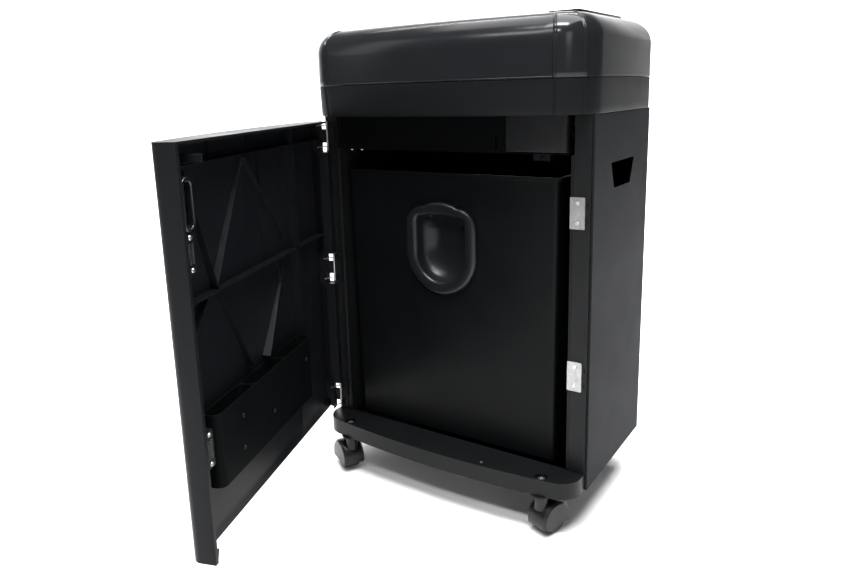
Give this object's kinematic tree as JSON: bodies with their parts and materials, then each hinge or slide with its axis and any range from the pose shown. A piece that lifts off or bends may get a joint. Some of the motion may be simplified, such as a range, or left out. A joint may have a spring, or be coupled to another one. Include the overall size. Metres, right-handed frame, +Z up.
{
  "type": "paper shredder",
  "caption": "Cabinet paper shredder on swivel castors with a hinged front door, a pull-out waste bin, a rounded head and two geared cutter shafts.",
  "frame": {"origin": "on the floor under the middle of the cabinet's side panels", "axes": "+X to the right seen from the front, +Y to the back, +Z up"},
  "size_m": [0.4139, 0.5933, 0.6445],
  "materials": {
    "panel_board": "smooth dark laminate",
    "frame_plastic": "fine moulded texture",
    "hood_plastic": "satin-gloss moulded ABS",
    "door_plastic": "satin moulded ABS",
    "inner_plastic": "semi-gloss black moulding",
    "bin_plastic": "fine moulded texture",
    "control_plastic": "polished",
    "lens": "tinted lens",
    "zinc_steel": "zinc plated",
    "chassis_steel": "pressed sheet",
    "cutter_steel": "ground and oiled",
    "bush_bronze": "sintered",
    "motor_paint": "black enamel",
    "board_laminate": "solder mask",
    "castor_nylon": "moulded nylon"
  },
  "bodies": {
    "cabinet": {"base_plate": "frame_plastic", "side_panel_left": "panel_board", "side_panel_right": "panel_board", "back_panel": "panel_board", "stile_left": "frame_plastic", "stile_right": "frame_plastic", "grip_cups": "frame_plastic", "chassis_shelf": "chassis_steel", "fascia_panel": "inner_plastic", "fascia_cover": "frame_plastic", "bin_sensor": "inner_plastic", "strike_plates": "zinc_steel", "cabinet_screws": "zinc_steel", "cabinet_hinges": "zinc_steel", "castor_sockets": "zinc_steel", "head_skirt": "frame_plastic", "head_hood": "hood_plastic", "corner_trim_left": "hood_plastic", "corner_trim_right": "hood_plastic", "control_pod": "control_plastic", "status_lenses": "lens", "throat_liner": "inner_plastic", "power_inlet": "inner_plastic", "cutter_frame_left": "chassis_steel", "cutter_frame_right": "chassis_steel", "tie_rods": "chassis_steel", "bearing_bushes": "bush_bronze", "stripper_combs": "inner_plastic", "motor": "motor_paint", "circuit_board": "board_laminate", "door_switch": "inner_plastic"},
    "cutter_rear": {"cutter_rear": "cutter_steel", "gear_rear": "cutter_steel"},
    "cutter_front": {"cutter_front": "cutter_steel", "gear_front": "cutter_steel"},
    "idler": {"compound_gear": "cutter_steel"},
    "pinion": {"motor_pinion": "cutter_steel"},
    "button_reverse": {"button_reverse": "control_plastic"},
    "button_auto": {"button_auto": "control_plastic"},
    "button_forward": {"button_forward": "control_plastic"},
    "rocker": {"power_rocker": "inner_plastic"},
    "bin": {"bin_shell": "bin_plastic", "bin_handle": "door_plastic"},
    "door": {"door_skin": "door_plastic", "door_liner": "inner_plastic", "door_pocket": "inner_plastic", "door_handle": "inner_plastic", "door_catches": "zinc_steel", "door_hinges": "zinc_steel", "interlock_tab": "inner_plastic", "door_screws": "zinc_steel"},
    "castor_fl": {"castor_hood_fl": "castor_nylon"},
    "wheels_fl": {"castor_wheels_fl": "castor_nylon"},
    "castor_fr": {"castor_hood_fr": "castor_nylon"},
    "wheels_fr": {"castor_wheels_fr": "castor_nylon"},
    "castor_rl": {"castor_hood_rl": "castor_nylon"},
    "wheels_rl": {"castor_wheels_rl": "castor_nylon"},
    "castor_rr": {"castor_hood_rr": "castor_nylon"},
    "wheels_rr": {"castor_wheels_rr": "castor_nylon"}
  },
  "joints": [
    {"name": "door_hinge", "type": "hinge", "parent": "cabinet", "child": "door", "pos_m": [-0.19, -0.111, 0.3], "axis": [0, 0, -1], "range_deg": [-70.5, 24.5]},
    {"name": "bin_slide", "type": "slide", "parent": "cabinet", "child": "bin", "axis": [0, -1, 0], "range_m": [0, 0.1]},
    {"name": "cutter_rear_spin", "type": "hinge", "parent": "cabinet", "child": "cutter_rear", "pos_m": [0, 0.01, 0.555], "axis": [1, 0, 0], "continuous": true},
    {"name": "cutter_front_spin", "type": "hinge", "parent": "cabinet", "child": "cutter_front", "pos_m": [0, -0.03, 0.555], "axis": [1, 0, 0], "continuous": true},
    {"name": "idler_spin", "type": "hinge", "parent": "cabinet", "child": "idler", "pos_m": [0.13, 0.04, 0.571], "axis": [1, 0, 0], "continuous": true},
    {"name": "pinion_spin", "type": "hinge", "parent": "cabinet", "child": "pinion", "pos_m": [0.13, 0.076, 0.544], "axis": [1, 0, 0], "continuous": true},
    {"name": "rocker_tilt", "type": "hinge", "parent": "cabinet", "child": "rocker", "pos_m": [-0.085, 0.094, 0.544], "axis": [1, 0, 0], "range_deg": [0, 16]},
    {"name": "button_reverse_press", "type": "slide", "parent": "cabinet", "child": "button_reverse", "axis": [0, 0, -1], "range_m": [0, 0.002], "stiffness_N_per_m": 400},
    {"name": "button_auto_press", "type": "slide", "parent": "cabinet", "child": "button_auto", "axis": [0, 0, -1], "range_m": [0, 0.002], "stiffness_N_per_m": 400},
    {"name": "button_forward_press", "type": "slide", "parent": "cabinet", "child": "button_forward", "axis": [0, 0, -1], "range_m": [0, 0.002], "stiffness_N_per_m": 400},
    {"name": "castor_fl_swivel", "type": "hinge", "parent": "cabinet", "child": "castor_fl", "pos_m": [-0.153, -0.135, 0.05], "axis": [0, 0, 1], "continuous": true},
    {"name": "wheels_fl_spin", "type": "hinge", "parent": "castor_fl", "child": "wheels_fl", "pos_m": [-0.16536, -0.12843, 0.02], "axis": [-0.4695, -0.8829, 0], "continuous": true},
    {"name": "castor_fr_swivel", "type": "hinge", "parent": "cabinet", "child": "castor_fr", "pos_m": [0.153, -0.135, 0.05], "axis": [0, 0, 1], "continuous": true},
    {"name": "wheels_fr_spin", "type": "hinge", "parent": "castor_fr", "child": "wheels_fr", "pos_m": [0.15779, -0.12184, 0.02], "axis": [-0.9397, 0.342, 0], "continuous": true},
    {"name": "castor_rl_swivel", "type": "hinge", "parent": "cabinet", "child": "castor_rl", "pos_m": [-0.153, 0.071, 0.05], "axis": [0, 0, 1], "continuous": true},
    {"name": "wheels_rl_spin", "type": "hinge", "parent": "castor_rl", "child": "wheels_rl", "pos_m": [-0.16569, 0.06508, 0.02], "axis": [0.4226, -0.9063, 0], "continuous": true},
    {"name": "castor_rr_swivel", "type": "hinge", "parent": "cabinet", "child": "castor_rr", "pos_m": [0.153, 0.071, 0.05], "axis": [0, 0, 1], "continuous": true},
    {"name": "wheels_rr_spin", "type": "hinge", "parent": "castor_rr", "child": "wheels_rr", "pos_m": [0.14821, 0.08416, 0.02], "axis": [-0.9397, -0.342, 0], "continuous": true}
  ],
  "couplings": [
    {"joint": "cutter_front_spin", "follows": "cutter_rear_spin", "ratio": -1},
    {"joint": "idler_spin", "follows": "cutter_rear_spin", "ratio": -1.4286},
    {"joint": "pinion_spin", "follows": "cutter_rear_spin", "ratio": 5.7143}
  ]
}
